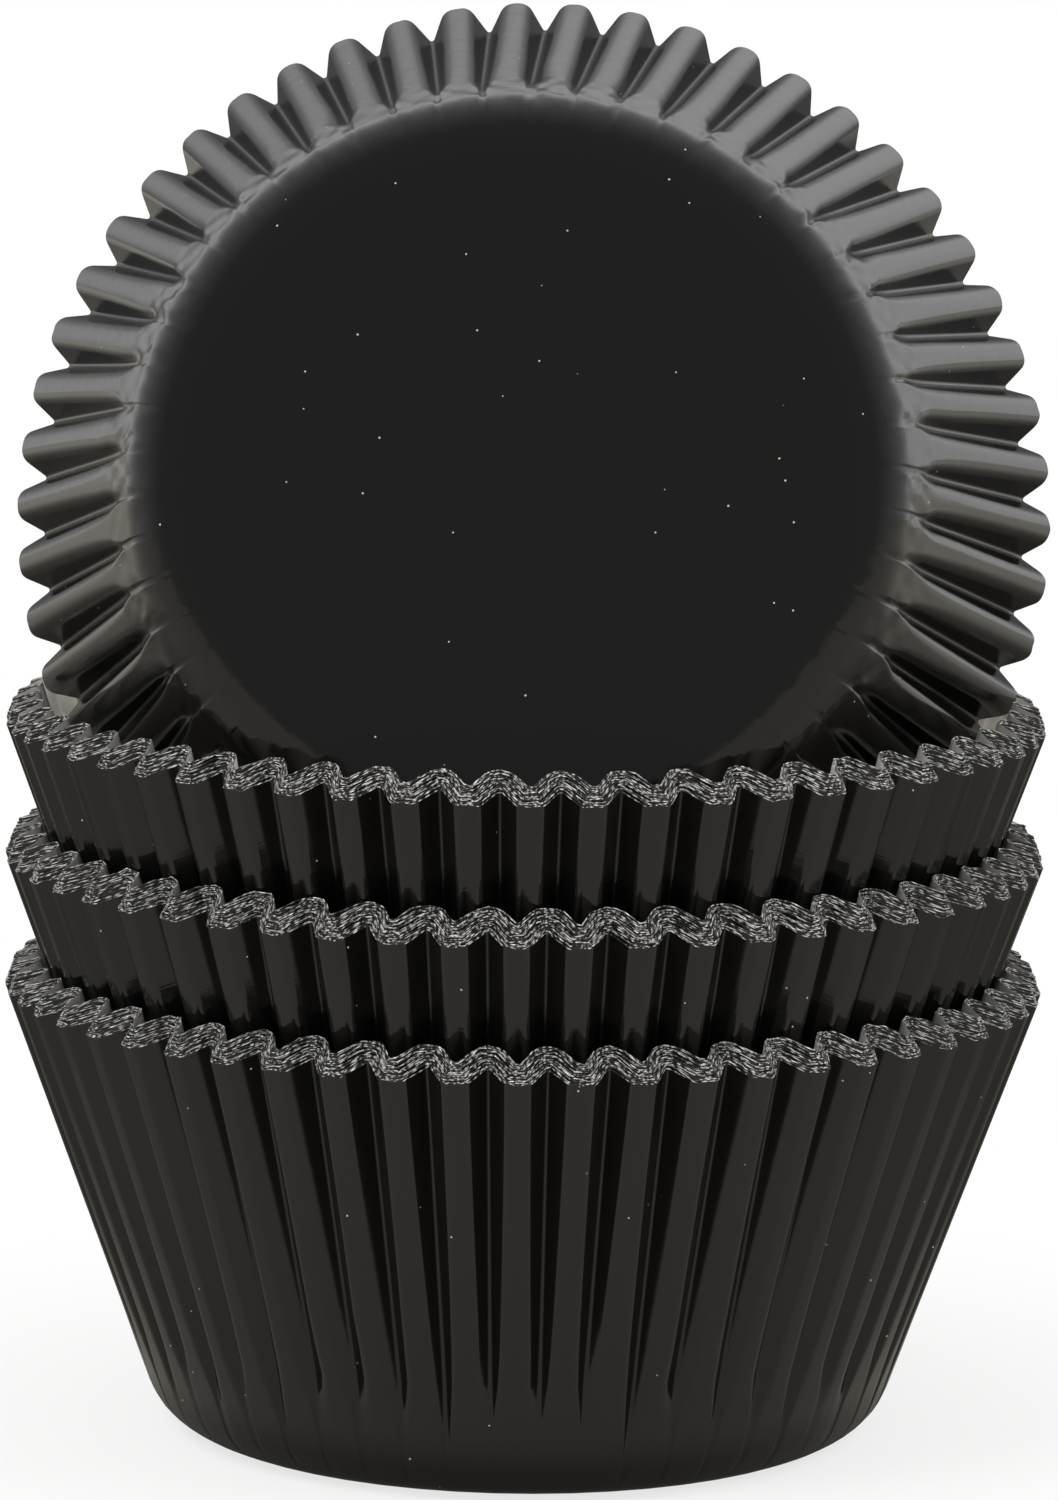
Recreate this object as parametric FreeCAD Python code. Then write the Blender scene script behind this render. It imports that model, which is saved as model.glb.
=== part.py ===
import FreeCAD, Part
import math
import os

# A stack of fluted baking cups, cut from foil-faced paper. Three bundles of nested liners
# stand one in another, and one loose liner stands on its rim in the top bundle, leaning back
# with its base to the front. +Z is up, the front is -Y, and the origin is the centre of the
# lowest base on the surface that the stack stands on. Millimetres and degrees throughout.

doc = FreeCAD.newDocument("cupcake_liner_stack")
sheet = doc.addObject("Spreadsheet::Sheet", "sizes")

SIZES = [
    ("base_diameter", 51.0, "where the wall's line meets the base plane"),
    ("mouth_diameter", 74.1, "over the flutes' ridges at the rim"),
    ("liner_height", 31.8, "base to rim, along the ridges"),
    ("corner_radius", 5.0, "between base and wall, outside"),
    ("paper_thickness", 0.07, "foil on greaseproof paper"),
    ("layer_gap", 0.01, "air between two pressed liners"),
    ("flute_count", 54, "flutes round one liner"),
    ("flute_depth", 2.05, "ridge to groove at the rim"),
    ("flank_slope", 60.0, "steepness of a flute's flank"),
    ("groove_half_width", 0.12, "half the floor of an outermost groove at the rim"),
    ("groove_start", 2.2, "wall left smooth above the corner, on average"),
    ("groove_unevenness", 1.7, "how far the grooves' starts differ from that"),
    ("lower_count", 13, "liners in the lower bundle"),
    ("middle_count", 14, "liners in the middle bundle"),
    ("upper_count", 12, "liners in the upper bundle"),
    ("lower_drift", 0.25, "how far its flutes lag at the back, in flutes"),
    ("middle_drift", -0.25, "how far its flutes lag at the back, in flutes"),
    ("upper_drift", 1.0, "how far its flutes lag at the back, in flutes"),
    ("lower_turn", -0.46, "turn of the lower bundle, in flutes"),
    ("middle_turn", -0.5, "turn of the middle bundle, in flutes"),
    ("upper_turn", -0.32, "turn of the upper bundle, in flutes"),
    ("rest_gap", 0.02, "left where a bundle rests on the flutes of the one below"),
    ("lean_tilt", 12.0, "how far the loose liner leans back from upright"),
    ("lean_swing", -1.5, "how far its base points to the left"),
    ("lean_side", 0.2, "its rim's centre, to the right of the stack's axis"),
    ("lean_back", 5.0, "its rim's centre, behind the stack's axis"),
    ("lean_height", 14.1, "its rim's centre, above the upper bundle's lowest rim"),
    ("lean_turn", 0.05, "turn of the loose liner, in flutes"),
]
for row, (alias, value, note) in enumerate(SIZES, start=1):
    sheet.set("A%d" % row, alias)
    sheet.set("B%d" % row, str(value))
    sheet.setAlias("B%d" % row, alias)
    sheet.set("C%d" % row, note)
doc.recompute()


def size(alias):
    """The value of one named cell."""
    return float(sheet.get(alias))


CORNER_STEPS = 3
base_radius = size("base_diameter") / 2
mouth_radius = size("mouth_diameter") / 2
corner_radius = size("corner_radius")
wall_angle = math.atan2(mouth_radius - base_radius, size("liner_height"))
rim_slant = size("liner_height") / math.cos(wall_angle)
corner_turn = math.pi / 2 - wall_angle
corner_length = corner_radius * math.tan(corner_turn / 2)
layer_pitch = size("paper_thickness") + size("layer_gap")
flute_count = int(size("flute_count"))
flute_pitch = 2 * math.pi / flute_count
flute_length = rim_slant - corner_length - size("groove_start")
flank = math.radians(size("flank_slope"))


def bundle_thickness(count):
    """From the outside of the first liner to the inside of the last."""
    return count * layer_pitch - size("layer_gap")


def rim_extra(inset):
    """How much further up the wall the rim of a face comes that lies inset inside.

    Every liner is cut from the same disc, and one further in spends less paper in the corner.
    """
    return inset * corner_turn


def rim_depth(inset):
    """Ridge to groove at that rim: the grooves deepen evenly up the wall."""
    return size("flute_depth") * (1 + rim_extra(inset) / flute_length)


def flute_angle(flute, turn, drift):
    """Where a groove stands round the liner: its even place from the front, turned, with a
    drift that grows towards the back."""
    lag = drift * (1 - math.cos(flute_pitch * flute)) / 2
    return -math.pi / 2 + flute_pitch * (flute + turn + lag)


def point_at(angle, radius, height, across=0.0):
    """A point in the upright plane through the axis at that angle, then moved sideways."""
    outward = FreeCAD.Vector(math.cos(angle), math.sin(angle), 0)
    sideways = FreeCAD.Vector(-math.sin(angle), math.cos(angle), 0)
    return outward * radius + sideways * across + FreeCAD.Vector(0, 0, height)


def corner_ring(inset, step, angles):
    """The groove angles' points on the rounded corner, from the flat base to the wall."""
    turn = corner_turn * step / CORNER_STEPS
    radius = base_radius - corner_length + (corner_radius - inset) * math.sin(turn)
    height = corner_radius - (corner_radius - inset) * math.cos(turn)
    return [point_at(angle, radius, height) for angle in angles]


def rim_ring(inset, angles):
    """The rim's corners, four to a flute: ridge, groove, groove, ridge.

    The flanks keep their slope and move square to themselves with the inset, so nested
    liners stay parallel.
    """
    slant = rim_slant + rim_extra(inset)
    depth = rim_depth(inset)
    floor = size("groove_half_width") + inset * math.tan(flank / 2)
    shoulder = floor + depth / math.tan(flank)
    ring = []
    for angle in angles:
        for drop, across in ((0, -shoulder), (depth, -floor), (depth, floor), (0, shoulder)):
            radius = base_radius + slant * math.sin(wall_angle)
            radius -= (inset + drop) * math.cos(wall_angle)
            height = slant * math.cos(wall_angle) + (inset + drop) * math.sin(wall_angle)
            ring.append(point_at(angle, radius, height, across))
    return ring


def groove_starts(foot, rim):
    """Where each groove starts: on the fold between the two ridges beside it, at a height
    that differs a little from groove to groove."""
    normals = []
    for flute in range(flute_count):
        foot_chord = foot[(flute + 1) % flute_count] - foot[flute]
        normals.append(foot_chord.cross(rim[4 * flute + 3] - foot[flute]))
    starts = []
    for flute in range(flute_count):
        fold = normals[flute - 1].cross(normals[flute]).normalize()
        if fold.z < 0:
            fold = fold * -1
        uneven = math.sin(2.4 * flute + 0.7) * math.cos(0.9 * flute)
        reach = size("groove_start") + size("groove_unevenness") * uneven
        starts.append(foot[flute] + fold * reach)
    return starts


def skin(inset, angles):
    """One face of a liner: the facets of its corner and its flutes, then its flat base."""
    rings = [corner_ring(inset, step, angles) for step in range(CORNER_STEPS + 1)]
    rim = rim_ring(inset, angles)
    starts = groove_starts(rings[-1], rim)
    facets = []
    for flute in range(flute_count):
        after = (flute + 1) % flute_count
        for low, high in zip(rings, rings[1:]):
            facets.append([low[flute], low[after], high[after], high[flute]])
        left, floor_left, floor_right, right = rim[4 * flute:4 * flute + 4]
        foot = [rings[-1][flute], rings[-1][after]]
        facets.append([starts[flute]] + foot + [starts[after], rim[4 * after], right])
        facets.append([starts[flute], left, floor_left])
        facets.append([starts[flute], floor_left, floor_right])
        facets.append([starts[flute], floor_right, right])
    return facets, rings[0], rim


def liner_solid(layer, turn, drift):
    """One liner, the layer-th from the outside of its bundle, standing on its base."""
    inset = layer * layer_pitch
    angles = [flute_angle(flute, turn, drift) for flute in range(flute_count)]
    outer_facets, outer_base, outer_rim = skin(inset, angles)
    inner_facets, inner_base, inner_rim = skin(inset + size("paper_thickness"), angles)
    facets = outer_facets + inner_facets + [outer_base, inner_base]
    for corner in range(len(outer_rim)):
        outer_edge = [outer_rim[corner - 1], outer_rim[corner]]
        facets.append(outer_edge + [inner_rim[corner], inner_rim[corner - 1]])
    faces = [Part.Face(Part.makePolygon(facet + facet[:1])) for facet in facets]
    shell = Part.makeShell(faces)
    shell.sewShape()
    solid = Part.makeSolid(shell)
    if solid.Volume < 0:
        solid.reverse()
    return solid


def add_liner(name, solid, placement):
    """A liner as an object of the document, with its name and place."""
    liner = doc.addObject("Part::Feature", name)
    liner.Label = name
    liner.Shape = solid
    liner.Placement = placement
    return liner


def bundle_step(count):
    """How much higher a bundle sits than the one of count liners that it rests in.

    The ridges outside the upper one meet the inside of the grooves at the lower one's
    highest rim, where the flutes of the two are out of step.
    """
    thickness = bundle_thickness(count)
    inward = rim_depth(thickness) + thickness + size("rest_gap")
    return inward / math.sin(wall_angle)


lower_count = int(size("lower_count"))
middle_count = int(size("middle_count"))
upper_count = int(size("upper_count"))
middle_lift = bundle_step(lower_count)
upper_lift = middle_lift + bundle_step(middle_count)

BUNDLES = [
    ("lower_liner", lower_count, size("lower_turn"), size("lower_drift"), 0.0),
    ("middle_liner", middle_count, size("middle_turn"), size("middle_drift"), middle_lift),
    ("upper_liner", upper_count, size("upper_turn"), size("upper_drift"), upper_lift),
]
liners = []
for name, count, turn, drift, lift in BUNDLES:
    for layer in range(count):
        solid = liner_solid(layer, turn, drift)
        place = FreeCAD.Placement(FreeCAD.Vector(0, 0, lift), FreeCAD.Rotation())
        liners.append(add_liner("%s_%02d" % (name, layer + 1), solid, place))

# The loose liner is made standing on its base. It is turned end over end until its base
# faces the front, leaned back, and swung a little to the left, about its rim's centre.
rim_centre = FreeCAD.Vector(0, 0, size("liner_height"))
tip = FreeCAD.Rotation(FreeCAD.Vector(1, 0, 0), -90 - size("lean_tilt"))
swing = FreeCAD.Rotation(FreeCAD.Vector(0, 0, 1), size("lean_swing"))
lean = swing.multiply(tip)
rest_height = upper_lift + size("liner_height") + size("lean_height")
seat = FreeCAD.Vector(size("lean_side"), size("lean_back"), rest_height)
place = FreeCAD.Placement(seat - lean.multVec(rim_centre), lean)
solid = liner_solid(0, size("lean_turn"), 0.0)
liners.append(add_liner("leaning_liner", solid, place))

doc.recompute()
for liner in liners:
    if "Invalid" in liner.State or "Error" in liner.State:
        raise RuntimeError("%s did not compute" % liner.Label)
    if liner.Shape.isNull() or not liner.Shape.isValid():
        raise RuntimeError("%s has no valid shape" % liner.Label)
os.makedirs("parts", exist_ok=True)
for liner in liners:
    liner.Shape.exportStep("parts/%s.step" % liner.Label)
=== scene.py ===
import math
import bpy
import numpy as np
from mathutils import Matrix, Vector


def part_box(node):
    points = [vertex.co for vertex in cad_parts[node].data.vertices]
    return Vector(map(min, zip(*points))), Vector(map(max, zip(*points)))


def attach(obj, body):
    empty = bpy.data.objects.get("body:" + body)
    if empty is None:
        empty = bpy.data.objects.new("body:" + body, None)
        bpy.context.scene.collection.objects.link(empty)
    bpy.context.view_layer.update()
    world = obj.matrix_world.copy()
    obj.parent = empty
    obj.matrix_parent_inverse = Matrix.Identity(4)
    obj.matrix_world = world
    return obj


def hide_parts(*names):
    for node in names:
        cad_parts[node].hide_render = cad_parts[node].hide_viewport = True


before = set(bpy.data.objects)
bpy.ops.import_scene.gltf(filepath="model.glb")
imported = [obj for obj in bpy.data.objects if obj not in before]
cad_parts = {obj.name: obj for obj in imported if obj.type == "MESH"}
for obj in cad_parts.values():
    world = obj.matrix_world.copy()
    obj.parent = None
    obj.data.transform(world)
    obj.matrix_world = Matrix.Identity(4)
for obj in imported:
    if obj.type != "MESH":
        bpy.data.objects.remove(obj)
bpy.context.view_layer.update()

# The lower bundle: thirteen cupcake liners pressed one in another. Each is a disc of
# greaseproof paper faced with black lacquered foil, pressed over a fluted die, foil outside.
# Their rims step up and in from the outermost liner to the innermost, cut edges showing.
MM = 0.001
BASE_RADIUS = 25.5 * MM
MOUTH_RADIUS = 37.05 * MM
LINER_HEIGHT = 31.8 * MM
CORNER_RADIUS = 5.0 * MM
PAPER = 0.07 * MM
LAYER_PITCH = 0.08 * MM
EDGE_BEVEL = 0.045 * MM
FLUTES = 54
FLUTE_DEPTH = 2.05 * MM
FLANK_SLOPE = math.radians(60)
FLANK_SLOPE_AT_FOOT = math.radians(50)
GROOVE_HALF_WIDTH = 0.12 * MM
GROOVE_START = 2.2 * MM
GROOVE_UNEVENNESS = 1.7 * MM
GROOVE_EASE = 1.0 * MM
GROOVE_SWAY = 0.12 * MM
SWAY_AT_RIM = -0.5
GROOVE_BEND = 0.2 * MM
LONGEST_BEND = 0.48
FADED_FLANK = 0.15 * MM
FADED_BELOW = 0.25
LAZY_FLANK = 0.7 * MM
LAZY_LENGTHS = (3 * MM, 9 * MM)
KNEE = 6 * MM
KNEE_DEPTH = 0.42
CREASE_DEPTH = 0.05
FLANK_SHOWS = 0.3 * MM
WALL_ANGLE = math.atan2(MOUTH_RADIUS - BASE_RADIUS, LINER_HEIGHT)
CORNER_TURN = math.pi / 2 - WALL_ANGLE
CORNER_LENGTH = CORNER_RADIUS * math.tan(CORNER_TURN / 2)
CORNER_ARC = CORNER_RADIUS * CORNER_TURN
WALL_LENGTH = LINER_HEIGHT / math.cos(WALL_ANGLE) - CORNER_LENGTH
FLUTE_PITCH = 2 * math.pi / FLUTES


def flute_habits(seed):
    """How each flute of one bundle differs from the next: how far above the corner its groove
    starts, where its line wanders, and how lazily its left and right flanks end. The starts
    are the solids' own: they rise and fall with sin(2.4 flute + 0.7) cos(0.9 flute)."""
    chance = np.random.default_rng(seed)
    flute = np.arange(-(FLUTES // 2), FLUTES - FLUTES // 2)
    uneven = np.sin(2.4 * (flute % FLUTES) + 0.7) * np.cos(0.9 * (flute % FLUTES))
    lean = chance.uniform(-1, 1, FLUTES)
    return {
        "flute": flute,
        "reach": GROOVE_START + GROOVE_UNEVENNESS * uneven,
        "sway": GROOVE_SWAY * chance.uniform(-1, 1, FLUTES),
        "lazy_left": LAZY_FLANK * np.maximum(-lean, 0),
        "lazy_right": LAZY_FLANK * np.maximum(lean, 0),
        "lazy_length": chance.uniform(*LAZY_LENGTHS, FLUTES),
    }


def meridian(inset, slant):
    """Radius, height and outward slope of the plain cup, at a distance along the wall from the
    end of the corner. Below nought it is the corner's arc; inset moves it square to itself."""
    arc = np.clip(CORNER_TURN + slant / CORNER_RADIUS, 0, CORNER_TURN)
    wall = np.maximum(slant, 0)
    radius = BASE_RADIUS - CORNER_LENGTH + (CORNER_RADIUS - inset) * np.sin(arc)
    height = CORNER_RADIUS - (CORNER_RADIUS - inset) * np.cos(arc)
    return radius + wall * math.sin(WALL_ANGLE), height + wall * math.cos(WALL_ANGLE), arc


def rounded_line(corners, girth, ridge_bend, inset, steps, ridge_steps):
    """Rows of closed lines with their corners rounded: each corner becomes a parabola between
    two points a bend's length away on its two sides, or just short of the sides' middles.
    Four corners make a flute, and steps gives the points on each; the ridge between two
    flutes is cut into ridge_steps. Nested sheets stay parallel, so further in the grooves
    bend wider and the ridges tighter."""
    widening = inset * math.tan(FLANK_SLOPE / 2)
    ridge_bend, groove_bend = max(ridge_bend - widening, PAPER), GROOVE_BEND + widening
    bends = np.tile([ridge_bend, groove_bend, groove_bend, ridge_bend], FLUTES)[:, None]
    before, after = np.roll(corners, 1, axis=1), np.roll(corners, -1, axis=1)
    before[:, 0, 0] -= girth
    after[:, -1, 0] += girth
    back, on = before - corners, after - corners
    back_length = np.linalg.norm(back, axis=2, keepdims=True)
    on_length = np.linalg.norm(on, axis=2, keepdims=True)
    bend = np.minimum(bends, LONGEST_BEND * np.minimum(back_length, on_length))
    back, on = back / back_length * bend, on / on_length * bend
    folds = []
    for kind, count in enumerate(steps):
        w = np.linspace(0, 1, count)[None, None, :, None]
        tip, one, two = (part[:, kind::4, None] for part in (corners, back, on))
        folds.append(tip + (1 - w) ** 2 * one + w ** 2 * two)
    ridge_end = np.roll(folds[0][:, :, :1], -1, axis=1)
    ridge_end[:, -1, 0, 0] += girth
    w = (np.arange(1, ridge_steps) / ridge_steps)[None, None, :, None]
    folds.append(folds[3][:, :, -1:] * (1 - w) + ridge_end * w)
    return np.concatenate(folds, axis=2).reshape(len(corners), -1, 2)


CRINKLE_WAVES = 14
CRINKLE_TURNS = (30, 130)
CRINKLE_RISE = 2.2
CRINKLE_MIDDLE = 0.5 * MM
CRINKLE_REACH = 3.5 * MM


def crinkles(angle, slant, size, seed):
    """Small dents round the corner and the foot of the wall, outwards: a sum of slanting sine
    waves, so many to a turn and radians to a millimetre up the wall. They fade away from the
    corner as exp(-(distance / reach) squared)."""
    chance = np.random.default_rng(seed)
    dents = np.zeros(np.broadcast(angle, slant).shape)
    for _ in range(CRINKLE_WAVES):
        turns = chance.integers(*CRINKLE_TURNS)
        rise = chance.uniform(-CRINKLE_RISE, CRINKLE_RISE) / MM
        dents += np.sin(turns * angle + rise * slant + chance.uniform(0, 2 * math.pi))
    near = np.exp(-((slant - CRINKLE_MIDDLE) / CRINKLE_REACH) ** 2)
    return size * near * dents / math.sqrt(CRINKLE_WAVES)


def fluted_face(inset, slants, bundle, knee_round, steps, ridge_steps):
    """Points of one face of a liner, a row for each slant, with each point's angle and how
    much of it is a groove's flank. Every groove gives its row four corners, shoulder, floor,
    floor, shoulder. The grooves deepen fast above their starts and slowly above the knee,
    where the two lines of depth meet in a round as wide as knee_round. Below its start a
    groove goes on as a crease through the corner, and the wall between two grooves is flat:
    its radius is that of a chord, cos(half the angle between them) / cos(angle from the
    middle)."""
    habits = flute_habits(bundle["seed"])
    flute, reach = habits["flute"], habits["reach"]
    lag = bundle["drift"] * (1 - np.cos(FLUTE_PITCH * flute)) / 2
    centre = -math.pi / 2 + FLUTE_PITCH * (flute + bundle["turn"] + lag)
    radius, height, arc = (part[:, None] for part in meridian(inset, slants))
    above = slants[:, None] - reach
    crease = CREASE_DEPTH * np.clip(1 + slants[:, None] / CORNER_ARC, 0, 1)
    start = (KNEE_DEPTH - CREASE_DEPTH) * (above + np.hypot(above, GROOVE_EASE)) / 2
    start = crease + start / (KNEE - reach)
    upper = KNEE_DEPTH + (1 - KNEE_DEPTH) * (slants[:, None] - KNEE) / (WALL_LENGTH - KNEE)
    share = (start + upper - np.hypot(start - upper, knee_round)) / 2
    depth = FLUTE_DEPTH * share
    floor = GROOVE_HALF_WIDTH + inset * math.tan(FLANK_SLOPE / 2) * share
    slopes = [FLANK_SLOPE_AT_FOOT, FLANK_SLOPE]
    slope = np.interp(slants, [0, WALL_LENGTH], slopes)[:, None]
    run = np.hypot(depth / np.tan(slope), FADED_FLANK * np.clip(1 - share / FADED_BELOW, 0, 1))
    lazy = np.clip(1 - above / habits["lazy_length"], 0, 1) * np.clip(share / CREASE_DEPTH, 0, 1)
    swing = np.interp(slants, [0, KNEE, WALL_LENGTH], [0, 1, SWAY_AT_RIM])[:, None]
    across = [
        -(floor + run + lazy * habits["lazy_left"]),
        -floor,
        floor,
        floor + run + lazy * habits["lazy_right"],
    ]
    drop = np.stack([0 * depth, depth, depth, 0 * depth], axis=2)
    across = np.stack(across, axis=2) + (swing * habits["sway"])[:, :, None]
    ring = radius[:, :, None]
    along = ring * (centre[None, :, None] + across / (ring - drop * math.cos(WALL_ANGLE)))
    corners = np.stack([along, drop], axis=3).reshape(len(slants), -1, 2)
    girth = 2 * math.pi * radius[:, 0]
    line = rounded_line(corners, girth, bundle["bend"], inset, steps, ridge_steps)
    angle = line[:, :, 0] / radius
    creases = np.concatenate([centre[-1:] - 2 * math.pi, centre, centre[:1] + 2 * math.pi])
    strip = np.clip(np.searchsorted(creases, angle) - 1, 0, FLUTES)
    middle = (creases[strip] + creases[strip + 1]) / 2
    half = (creases[strip + 1] - creases[strip]) / 2
    radius = radius * np.cos(half) / np.cos(angle - middle)
    dent = crinkles(angle, slants[:, None], bundle["crinkle"], bundle["seed"])
    radius = radius - line[:, :, 1] * math.cos(WALL_ANGLE) + dent * np.sin(arc)
    height = height + line[:, :, 1] * math.sin(WALL_ANGLE) - dent * np.cos(arc)
    fades = [np.linspace(kind % 2, 1 - kind % 2, count) for kind, count in enumerate(steps)]
    one_groove = np.concatenate(fades + [np.zeros(ridge_steps - 1)])
    flank = np.tile(one_groove, FLUTES) * np.clip(line[:, :, 1] / FLANK_SHOWS, 0, 1)
    points = np.stack([radius * np.cos(angle), radius * np.sin(angle), height], axis=2)
    return points, angle, flank


def slant_rows(rim, corner, low, high):
    """Distances along the wall from the base's edge to the rim: so many steps in the corner,
    where the grooves start, and above."""
    return np.concatenate([
        np.linspace(-CORNER_ARC, 0, corner, endpoint=False),
        np.linspace(0, KNEE, low, endpoint=False),
        np.linspace(KNEE, rim, high),
    ])


RAGGED_RIM = 0.05 * MM
RAGGED_WAVES = 16
RAGGED_TURNS = (40, 260)
RIM_OFFSET = 0.6


def ragged(angle, seed):
    """How far each place of a cut rim stands above its line: uneven waves round the rim, and
    an offset of its own for each liner, both as shares of RAGGED_RIM."""
    chance = np.random.default_rng(seed)
    waves = [
        np.sin(turns * angle + chance.uniform(0, 2 * math.pi))
        for turns in chance.integers(*RAGGED_TURNS, RAGGED_WAVES)
    ]
    offset = chance.uniform(-RIM_OFFSET, RIM_OFFSET)
    return RAGGED_RIM * (sum(waves) / math.sqrt(RAGGED_WAVES / 2) + offset)


def closed_quads(rows, columns, first):
    """Corner numbers of the quads of a grid that closes on itself, facing outwards."""
    row, column = np.mgrid[0:rows - 1, 0:columns]
    left = first + row * columns + column
    right = first + row * columns + (column + 1) % columns
    return np.stack([left, right, right + columns, left + columns], axis=2).reshape(-1, 4)


def add_attribute(mesh, name, kind, domain, values):
    """Stores a number or a vector with each point or edge of a mesh."""
    field = "vector" if kind == "FLOAT_VECTOR" else "value"
    mesh.attributes.new(name, kind, domain).data.foreach_set(field, values.ravel())


UNROLLED_RADIUS = 30


def add_liner(node, layer, bundle, detail, place=Matrix()):
    """One liner in the place of a CAD node: its foil face, its paper face inside that, the cut
    edge that joins them at the rim, and the two sides of its flat base."""
    inset = layer * LAYER_PITCH
    rim = WALL_LENGTH + inset * CORNER_TURN
    folds = (detail["folds"], detail["ridge"])
    outer_slants = slant_rows(rim, *detail["foil_rows"])
    inner_slants = slant_rows(rim + EDGE_BEVEL, *detail["paper_rows"])
    outer, angle, flank = fluted_face(inset, outer_slants, bundle, detail["knee"], *folds)
    inner, inner_angle, _ = fluted_face(inset + PAPER, inner_slants, bundle, 0, *folds)
    uphill = [math.sin(WALL_ANGLE), math.sin(WALL_ANGLE), math.cos(WALL_ANGLE)]
    rise = ragged(angle[-1], 100 * bundle["seed"] + layer)[:, None] * uphill
    outward = np.stack([np.cos(angle[-1]), np.sin(angle[-1]), np.ones_like(angle[-1])], axis=1)
    outer[-1] += rise * outward
    inner[-1] += rise * outward

    columns = outer.shape[1]
    first_inner = outer.shape[0] * columns
    centre = first_inner + inner.shape[0] * columns
    points = np.concatenate([
        outer.reshape(-1, 3), inner.reshape(-1, 3), [[0, 0, inset], [0, 0, inset + PAPER]]
    ])
    foil = closed_quads(outer.shape[0], columns, 0)
    paper = closed_quads(inner.shape[0], columns, first_inner)[:, ::-1]
    column = np.arange(columns)
    after = (column + 1) % columns
    outer_rim, inner_rim = first_inner - columns, centre - columns
    edge = np.stack([
        outer_rim + column, outer_rim + after, inner_rim + after, inner_rim + column
    ], axis=1)
    base = np.stack([np.full(columns, centre), after, column], axis=1)
    floor = np.stack([np.full(columns, centre + 1), column, after], axis=1)
    floor[:, 1:] += first_inner

    points = points @ np.array(place.to_3x3()).T + np.array(place.translation)
    faces = foil.tolist() + base.tolist() + paper.tolist() + floor.tolist() + edge.tolist()
    finish = np.repeat([0, 1, 2], [len(foil) + columns, len(paper) + columns, columns])
    mesh = bpy.data.meshes.new(node + "_pressed")
    mesh.from_pydata(points.tolist(), [], faces)
    for material in (foil_material, paper_material, edge_material):
        mesh.materials.append(material)
    mesh.polygons.foreach_set("material_index", finish.astype(np.int32))
    mesh.polygons.foreach_set("use_smooth", np.ones(len(faces), bool))
    ends = np.zeros(2 * len(mesh.edges), np.int32)
    mesh.edges.foreach_get("vertices", ends)
    ends = ends.reshape(-1, 2)
    sharp = np.zeros(len(ends), bool)
    for start in (outer_rim, inner_rim, 0, first_inner):
        sharp |= ((ends >= start) & (ends < start + columns)).all(axis=1)
    add_attribute(mesh, "sharp_edge", "BOOLEAN", "EDGE", sharp)

    slant = np.concatenate([
        np.repeat(outer_slants, columns), np.repeat(inner_slants, columns), [-CORNER_ARC] * 2
    ])
    angle = np.concatenate([angle.ravel(), inner_angle.ravel(), [0, 0]])
    ring = UNROLLED_RADIUS * np.stack([np.cos(angle), np.sin(angle)], axis=1)
    unrolled = np.column_stack([ring, slant / MM]).astype(np.float32)
    add_attribute(mesh, "laid_out", "FLOAT_VECTOR", "POINT", unrolled)
    # How much painted shade the foil gets at each point on the flanks of its grooves.
    flanks = np.zeros(len(points), np.float32)
    flanks[:first_inner] = bundle["painted_groove_shade"] * flank.ravel()
    add_attribute(mesh, "in_groove", "FLOAT", "POINT", flanks)
    mesh.update()

    liner = bpy.data.objects.new(node + "_pressed", mesh)
    bpy.context.scene.collection.objects.link(liner)
    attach(liner, "root")
    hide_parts(node)


def linear(hex_colour):
    """A colour written as sRGB hex, as the linear numbers that a shader takes."""
    parts = [int(hex_colour[place:place + 2], 16) / 255 for place in (1, 3, 5)]
    return [c / 12.92 if c <= 0.04045 else ((c + 0.055) / 1.055) ** 2.4 for c in parts] + [1]


def add_node(tree, kind, properties=None, values=None, links=None):
    """Adds one shader node, with its properties, its sockets' values and what feeds them."""
    made = tree.nodes.new("ShaderNode" + kind)
    for name, value in (properties or {}).items():
        setattr(made, name, value)
    for socket, value in (values or {}).items():
        made.inputs[socket].default_value = value
    for socket, source in (links or {}).items():
        tree.links.new(source, made.inputs[socket])
    return made


def new_material(name, **values):
    """An empty material with one Principled shader; returns it, its nodes and the shader."""
    material = bpy.data.materials.new(name)
    material.use_nodes = True
    tree = material.node_tree
    tree.nodes.clear()
    shader = add_node(tree, "BsdfPrincipled", values=values)
    add_node(tree, "OutputMaterial", links={"Surface": shader.outputs[0]})
    return material, tree, shader


def mottle(tree, size, stretch=(1, 1, 1), detail=2.0):
    """Noise whose grains are size millimetres, laid along the liner's own sheet: round it at
    UNROLLED_RADIUS, and up its wall."""
    sheet = add_node(tree, "Attribute", {"attribute_name": "laid_out"})
    scale = [1 / (size * part) for part in stretch]
    mapped = add_node(tree, "Mapping", values={"Scale": scale},
                      links={"Vector": sheet.outputs["Vector"]})
    return add_node(tree, "TexNoise", values={"Scale": 1.0, "Detail": detail},
                    links={"Vector": mapped.outputs[0]}).outputs[0]


# Black lacquered foil, rolled smooth and pressed: a clear dark gloss that mirrors the white
# room faintly, with shallow press marks and here and there a speck of dust. The flanks of a
# single sheet's grooves mirror each other and look darker. Where in_groove marks them, the
# gloss is turned down as a painted shade.
SPECK_SPACING = 2.2 * MM
SPECK_SIZE = 0.032
foil_material, tree, shader = new_material(
    "black lacquered foil", **{"Roughness": 0.13, "IOR": 1.5}
)
speck_place = add_node(tree, "TexCoord")
specks = add_node(tree, "TexVoronoi", values={"Scale": 1 / SPECK_SPACING},
                  links={"Vector": speck_place.outputs["Object"]})
speck_size = add_node(tree, "Math", {"operation": "LESS_THAN"}, {1: SPECK_SIZE},
                      {0: specks.outputs["Distance"]})
speck_tint = add_node(tree, "Mix", {"data_type": "RGBA"},
                      {6: linear("#0b0a09"), 7: linear("#b9b6ae")},
                      {0: speck_size.outputs[0]})
tree.links.new(speck_tint.outputs[2], shader.inputs["Base Color"])
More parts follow.
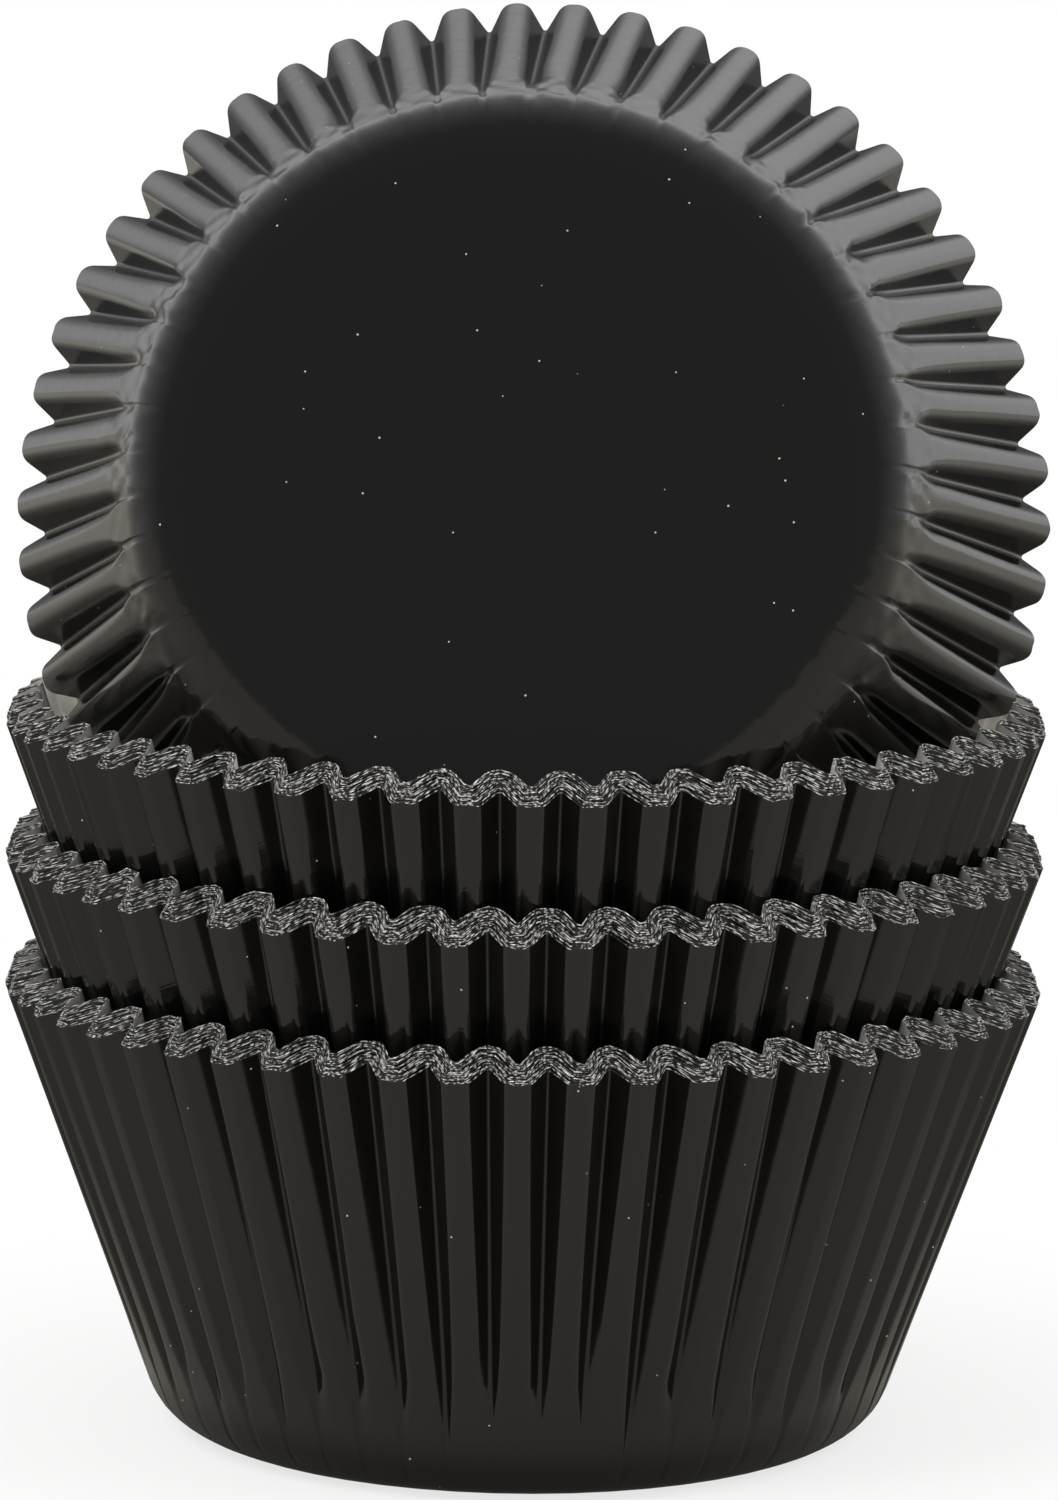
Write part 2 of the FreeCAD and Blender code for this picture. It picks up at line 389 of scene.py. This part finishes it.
in_groove = add_node(tree, "Attribute", {"attribute_name": "in_groove"})
# Painted shade: the foil's gloss drops from 0.5 to 0.03 on the flanks of its grooves.
gloss = add_node(tree, "MapRange", values={"To Min": 0.5, "To Max": 0.03},
                 links={"Value": in_groove.outputs["Fac"]})
tree.links.new(gloss.outputs[0], shader.inputs["Specular IOR Level"])
press_marks = add_node(tree, "Bump", values={"Strength": 0.5, "Distance": 0.02 * MM},
                       links={"Height": mottle(tree, 1.6)})
fine_marks = add_node(tree, "Bump", values={"Strength": 1.0, "Distance": 0.009 * MM},
                      links={"Height": mottle(tree, 0.2, (8, 8, 1)),
                             "Normal": press_marks.outputs[0]})
tree.links.new(fine_marks.outputs[0], shader.inputs["Normal"])

# Greaseproof paper inside: pale, matt and faintly mottled.
paper_material, tree, shader = new_material(
    "greaseproof paper", **{"Roughness": 0.75, "IOR": 1.45}
)
paper_tint = add_node(tree, "Mix", {"data_type": "RGBA"},
                      {6: linear("#c9c6bf"), 7: linear("#dedbd4")}, {0: mottle(tree, 1.2)})
tree.links.new(paper_tint.outputs[2], shader.inputs["Base Color"])

# The cut edge: torn paper fibres between foil, so it runs from black to white along the rim.
# The real fibres are finer than a pixel, and are drawn about three times too coarse.
edge_material, tree, shader = new_material(
    "cut edge of foil paper", **{"Roughness": 0.5, "IOR": 1.5}
)
fibres = add_node(tree, "MapRange", values={"From Min": 0.47, "From Max": 0.75},
                  links={"Value": mottle(tree, 0.12, (1.6, 1.6, 1), 3.0)})
edge_tint = add_node(tree, "Mix", {"data_type": "RGBA"},
                     {6: linear("#201f1e"), 7: linear("#f4f2ec")}, {0: fibres.outputs[0]})
tree.links.new(edge_tint.outputs[2], shader.inputs["Base Color"])

# How finely a liner is made, by what is seen of it: how round the knee is, the points on a
# groove's four folds and on a ridge, and the rows of its two faces in the corner, below the
# knee and above.
SEEN_OUTSIDE = {"knee": 0.1, "folds": (5, 3, 3, 5), "ridge": 3,
                "foil_rows": (8, 20, 10), "paper_rows": (2, 4, 5)}
SEEN_TOP = {"knee": 0.1, "folds": (5, 3, 3, 5), "ridge": 2,
            "foil_rows": (2, 3, 8), "paper_rows": (2, 4, 5)}
SEEN_INSIDE = {"knee": 0, "folds": (5, 3, 3, 5), "ridge": 2,
               "foil_rows": (6, 6, 6), "paper_rows": (6, 10, 12)}
NEXT_TO_SEEN = {"knee": 0, "folds": (3, 3, 3, 3), "ridge": 1,
                "foil_rows": (4, 4, 5), "paper_rows": (4, 4, 5)}
SEEN_RIM = {"knee": 0, "folds": (3, 3, 3, 3), "ridge": 1,
            "foil_rows": (2, 1, 2), "paper_rows": (2, 1, 2)}


def add_bundle(family, bundle, outermost, innermost, place=Matrix()):
    """All liners of one bundle. The ones beside those that are seen follow them closely, so
    that no hidden face comes through."""
    nodes = sorted(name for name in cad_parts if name.startswith(family))
    details = [SEEN_RIM] * len(nodes)
    details[0], details[1] = outermost, NEXT_TO_SEEN
    if innermost:
        details[-3:] = [NEXT_TO_SEEN, NEXT_TO_SEEN, innermost]
    for layer, (name, detail) in enumerate(zip(nodes, details)):
        add_liner(name, layer, bundle, detail, place)


lower_bundle = {"seed": 1, "turn": -0.46, "drift": 0.25, "crinkle": 0, "bend": 0.4 * MM,
                "painted_groove_shade": 0}
add_bundle("lower_liner", lower_bundle, SEEN_OUTSIDE, None)

# The middle bundle: fourteen liners of the same kind. It sits in the lower one, and rests on
# the inside of that bundle's flutes.
middle_bundle = {"seed": 2, "turn": -0.5, "drift": -0.25, "crinkle": 0, "bend": 0.4 * MM,
                 "painted_groove_shade": 0}
middle_place = Matrix.Translation((0, 0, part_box("middle_liner_01")[0].z))
add_bundle("middle_liner", middle_bundle, SEEN_TOP, None, middle_place)

# The upper bundle: twelve liners in the middle one. Its innermost liner shows its pale
# paper side round the foot of the loose liner, and from above.
upper_bundle = {"seed": 3, "turn": -0.32, "drift": 1.0, "crinkle": 0, "bend": 0.4 * MM,
                "painted_groove_shade": 0}
upper_place = Matrix.Translation((0, 0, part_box("upper_liner_01")[0].z))
add_bundle("upper_liner", upper_bundle, SEEN_TOP, SEEN_INSIDE, upper_place)

# The loose liner: one more of the same, stood on its rim in the top bundle with its base to
# the front, and leaning back. Handling has left dents round its corner, and its groove flanks
# get a painted shade.
LEAN_TILT = math.radians(12.0)
LEAN_SWING = math.radians(-1.5)
LEAN_SIDE = 0.2 * MM
LEAN_BACK = 5.0 * MM
LEAN_HEIGHT = 14.1 * MM
LOOSE_LINER = {"knee": 0.1, "folds": (7, 3, 3, 7), "ridge": 3,
               "foil_rows": (12, 22, 10), "paper_rows": (5, 6, 6)}
# Only the loose liner's groove flanks get the painted shade (1); the bundles get none.
loose = {"seed": 4, "turn": 0.05, "drift": 0.0, "crinkle": 0.05 * MM, "bend": 0.7 * MM,
         "painted_groove_shade": 1}
seat = Vector((LEAN_SIDE, LEAN_BACK, upper_place.translation.z + LINER_HEIGHT + LEAN_HEIGHT))
lean = Matrix.Rotation(LEAN_SWING, 4, "Z") @ Matrix.Rotation(-math.pi / 2 - LEAN_TILT, 4, "X")
rim_centre = Matrix.Translation((0, 0, -LINER_HEIGHT))
add_liner("leaning_liner", 0, loose, LOOSE_LINER, Matrix.Translation(seat) @ lean @ rim_centre)

# The floor: a plain white sheet that keeps the stack's soft shadow and runs out into the
# white of the backdrop. In the foil's reflections it glows instead, with painted light and
# shade: a painted shadow under the stack, dim behind it and lighter beside it.
FLOOR_RADIUS = 0.9
FLOOR_SIDES = 96
BELOW_BASE = 0.02 * MM
floor_material, tree, shader = new_material("white backdrop with painted reflection", Roughness=0.9)
shader.inputs["Base Color"].default_value = linear("#f2f1ee")
floor_place = add_node(tree, "TexCoord")
from_stack = add_node(tree, "VectorMath", {"operation": "LENGTH"},
                      links={0: floor_place.outputs["Object"]})
run_out = add_node(tree, "MapRange", {"interpolation_type": "SMOOTHSTEP"},
                   {"From Min": 0.03, "From Max": 0.08, "To Min": 0.75},
                   {"Value": from_stack.outputs["Value"]})
ray = add_node(tree, "LightPath")
seen = add_node(tree, "Math", {"operation": "MULTIPLY"},
                links={0: ray.outputs["Is Camera Ray"], 1: run_out.outputs[0]})
share = add_node(tree, "Math", {"operation": "MAXIMUM"},
                 links={0: seen.outputs[0], 1: ray.outputs["Is Glossy Ray"]})
# Painted reflection, for glossy rays only: the floor's glow is lighter beside the stack and dimmer
# behind it.
floor_parts = add_node(tree, "SeparateXYZ", links={0: floor_place.outputs["Object"]})
aside = add_node(tree, "Math", {"operation": "ABSOLUTE"}, links={0: floor_parts.outputs["X"]})
beside = add_node(tree, "MapRange", {"interpolation_type": "SMOOTHSTEP"},
                  {"From Min": 0.08, "From Max": 0.25}, {"Value": aside.outputs[0]})
behind = add_node(tree, "MapRange", values={"From Min": -0.05, "From Max": 0.04,
                                            "To Min": 0.57, "To Max": 0.12},
                  links={"Value": floor_parts.outputs["Y"]})
around = add_node(tree, "Mix", values={3: 0.6},
                  links={0: beside.outputs[0], 2: behind.outputs[0]})
# Painted shadow: the glow falls to 0.15 under the stack's foot.
under = add_node(tree, "MapRange", values={"From Min": 0.024, "From Max": 0.031,
                                           "To Min": 0.15},
                 links={"Value": from_stack.outputs["Value"]})
dimmed = add_node(tree, "Math", {"operation": "MULTIPLY"},
                  links={0: around.outputs[0], 1: under.outputs[0]})
mirrored = add_node(tree, "Mix", values={2: 1.0},
                    links={0: ray.outputs["Is Glossy Ray"], 3: dimmed.outputs[0]})
glow = add_node(tree, "Mix", {"data_type": "RGBA"},
                {6: (1, 1, 1, 1), 7: linear("#fffaec")}, {0: ray.outputs["Is Glossy Ray"]})
white = add_node(tree, "Emission", links={"Color": glow.outputs[2],
                                          "Strength": mirrored.outputs[0]})
blend = add_node(tree, "MixShader", links={0: share.outputs[0], 1: shader.outputs[0],
                                           2: white.outputs[0]})
tree.links.new(blend.outputs[0], tree.nodes["Material Output"].inputs["Surface"])
turns = np.linspace(0, 2 * math.pi, FLOOR_SIDES, endpoint=False)
ring = [[FLOOR_RADIUS * math.cos(a), FLOOR_RADIUS * math.sin(a), -BELOW_BASE] for a in turns]
floor_mesh = bpy.data.meshes.new("floor")
floor_mesh.from_pydata(ring, [], [list(range(FLOOR_SIDES))])
floor_mesh.materials.append(floor_material)
floor = bpy.data.objects.new("floor", floor_mesh)
bpy.context.scene.collection.objects.link(floor)

# The room: white all round and above, dim behind the camera and straight behind the stack, as
# a studio is, with a bright ring between. The camera sees it as plain white.
world = bpy.data.worlds.new("white studio")
bpy.context.scene.world = world
world.use_nodes = True
tree = world.node_tree
tree.nodes.clear()
direction = add_node(tree, "TexCoord")
backwards = add_node(tree, "VectorMath", {"operation": "DOT_PRODUCT"},
                     {1: (0, 0.978, -0.208)}, {0: direction.outputs["Generated"]})
depthwise = add_node(tree, "MapRange", values={"From Min": -1.0, "From Max": 1.0},
                     links={"Value": backwards.outputs["Value"]})
front = add_node(tree, "ValToRGB", links={0: depthwise.outputs[0]})
ramp = front.color_ramp
for place, grey in ((0.25, 0.3), (0.5, 0.6), (0.76, 0.8), (0.86, 1), (0.915, 1), (0.94, 0.3)):
    stop = ramp.elements.new(place)
    stop.color = (grey, grey, grey, 1)
ramp.elements[0].color = (0.27, 0.27, 0.27, 1)
ramp.elements[-1].color = (0.06, 0.06, 0.06, 1)
ray = add_node(tree, "LightPath")
mirrored = add_node(tree, "Mix", values={2: 0.8},
                    links={0: ray.outputs["Is Glossy Ray"], 3: front.outputs[0]})
strength = add_node(tree, "Mix", values={3: 1.0},
                    links={0: ray.outputs["Is Camera Ray"], 2: mirrored.outputs[0]})
background = add_node(tree, "Background", links={"Strength": strength.outputs[0]})
background.inputs["Color"].default_value = (1, 1, 1, 1)
add_node(tree, "OutputWorld", links={0: background.outputs[0]})


def add_softbox(name, place, aim, size, power):
    """A square soft lamp at place, turned to face aim."""
    lamp = bpy.data.lights.new(name, "AREA")
    lamp.size = size
    lamp.energy = power
    softbox = bpy.data.objects.new(name, lamp)
    softbox.location = place
    softbox.rotation_euler = (Vector(aim) - Vector(place)).to_track_quat("-Z", "Y").to_euler()
    softbox.visible_glossy = False
    bpy.context.scene.collection.objects.link(softbox)


middle_of_stack = (0, 0, 0.05)
add_softbox("key softbox", (-0.55, -0.55, 0.95), middle_of_stack, 0.5, 6.0)
add_softbox("fill softbox", (0.75, -0.25, 0.7), middle_of_stack, 0.5, 3.0)

# The camera: a long lens a little above the stack, its long side upright as the photograph's.
IMAGE_HEIGHT = 1500
FOCAL_PIXELS = 7925
SENSOR_WIDTH = 36
CAMERA_PLACE = Vector((6.49, -557.9, 138.0)) * MM
PITCH, YAW, ROLL = math.radians(9.092), math.radians(-0.643), math.radians(0.724)
camera_data = bpy.data.cameras.new("camera")
camera_data.sensor_width = SENSOR_WIDTH
camera_data.lens = FOCAL_PIXELS * SENSOR_WIDTH / IMAGE_HEIGHT
camera_data.clip_start, camera_data.clip_end = 0.05, 5
camera = bpy.data.objects.new("camera", camera_data)
look = Vector((math.sin(YAW) * math.cos(PITCH), math.cos(YAW) * math.cos(PITCH), -math.sin(PITCH)))
level = Vector((math.cos(YAW), -math.sin(YAW), 0))
upright = level.cross(look)
side = level * math.cos(ROLL) + upright * math.sin(ROLL)
top = upright * math.cos(ROLL) - level * math.sin(ROLL)
axes = Matrix((side, top, -look)).transposed().to_4x4()
camera.matrix_world = Matrix.Translation(CAMERA_PLACE) @ axes
bpy.context.scene.collection.objects.link(camera)
bpy.context.scene.camera = camera
bpy.context.scene.view_settings.view_transform = "Standard"
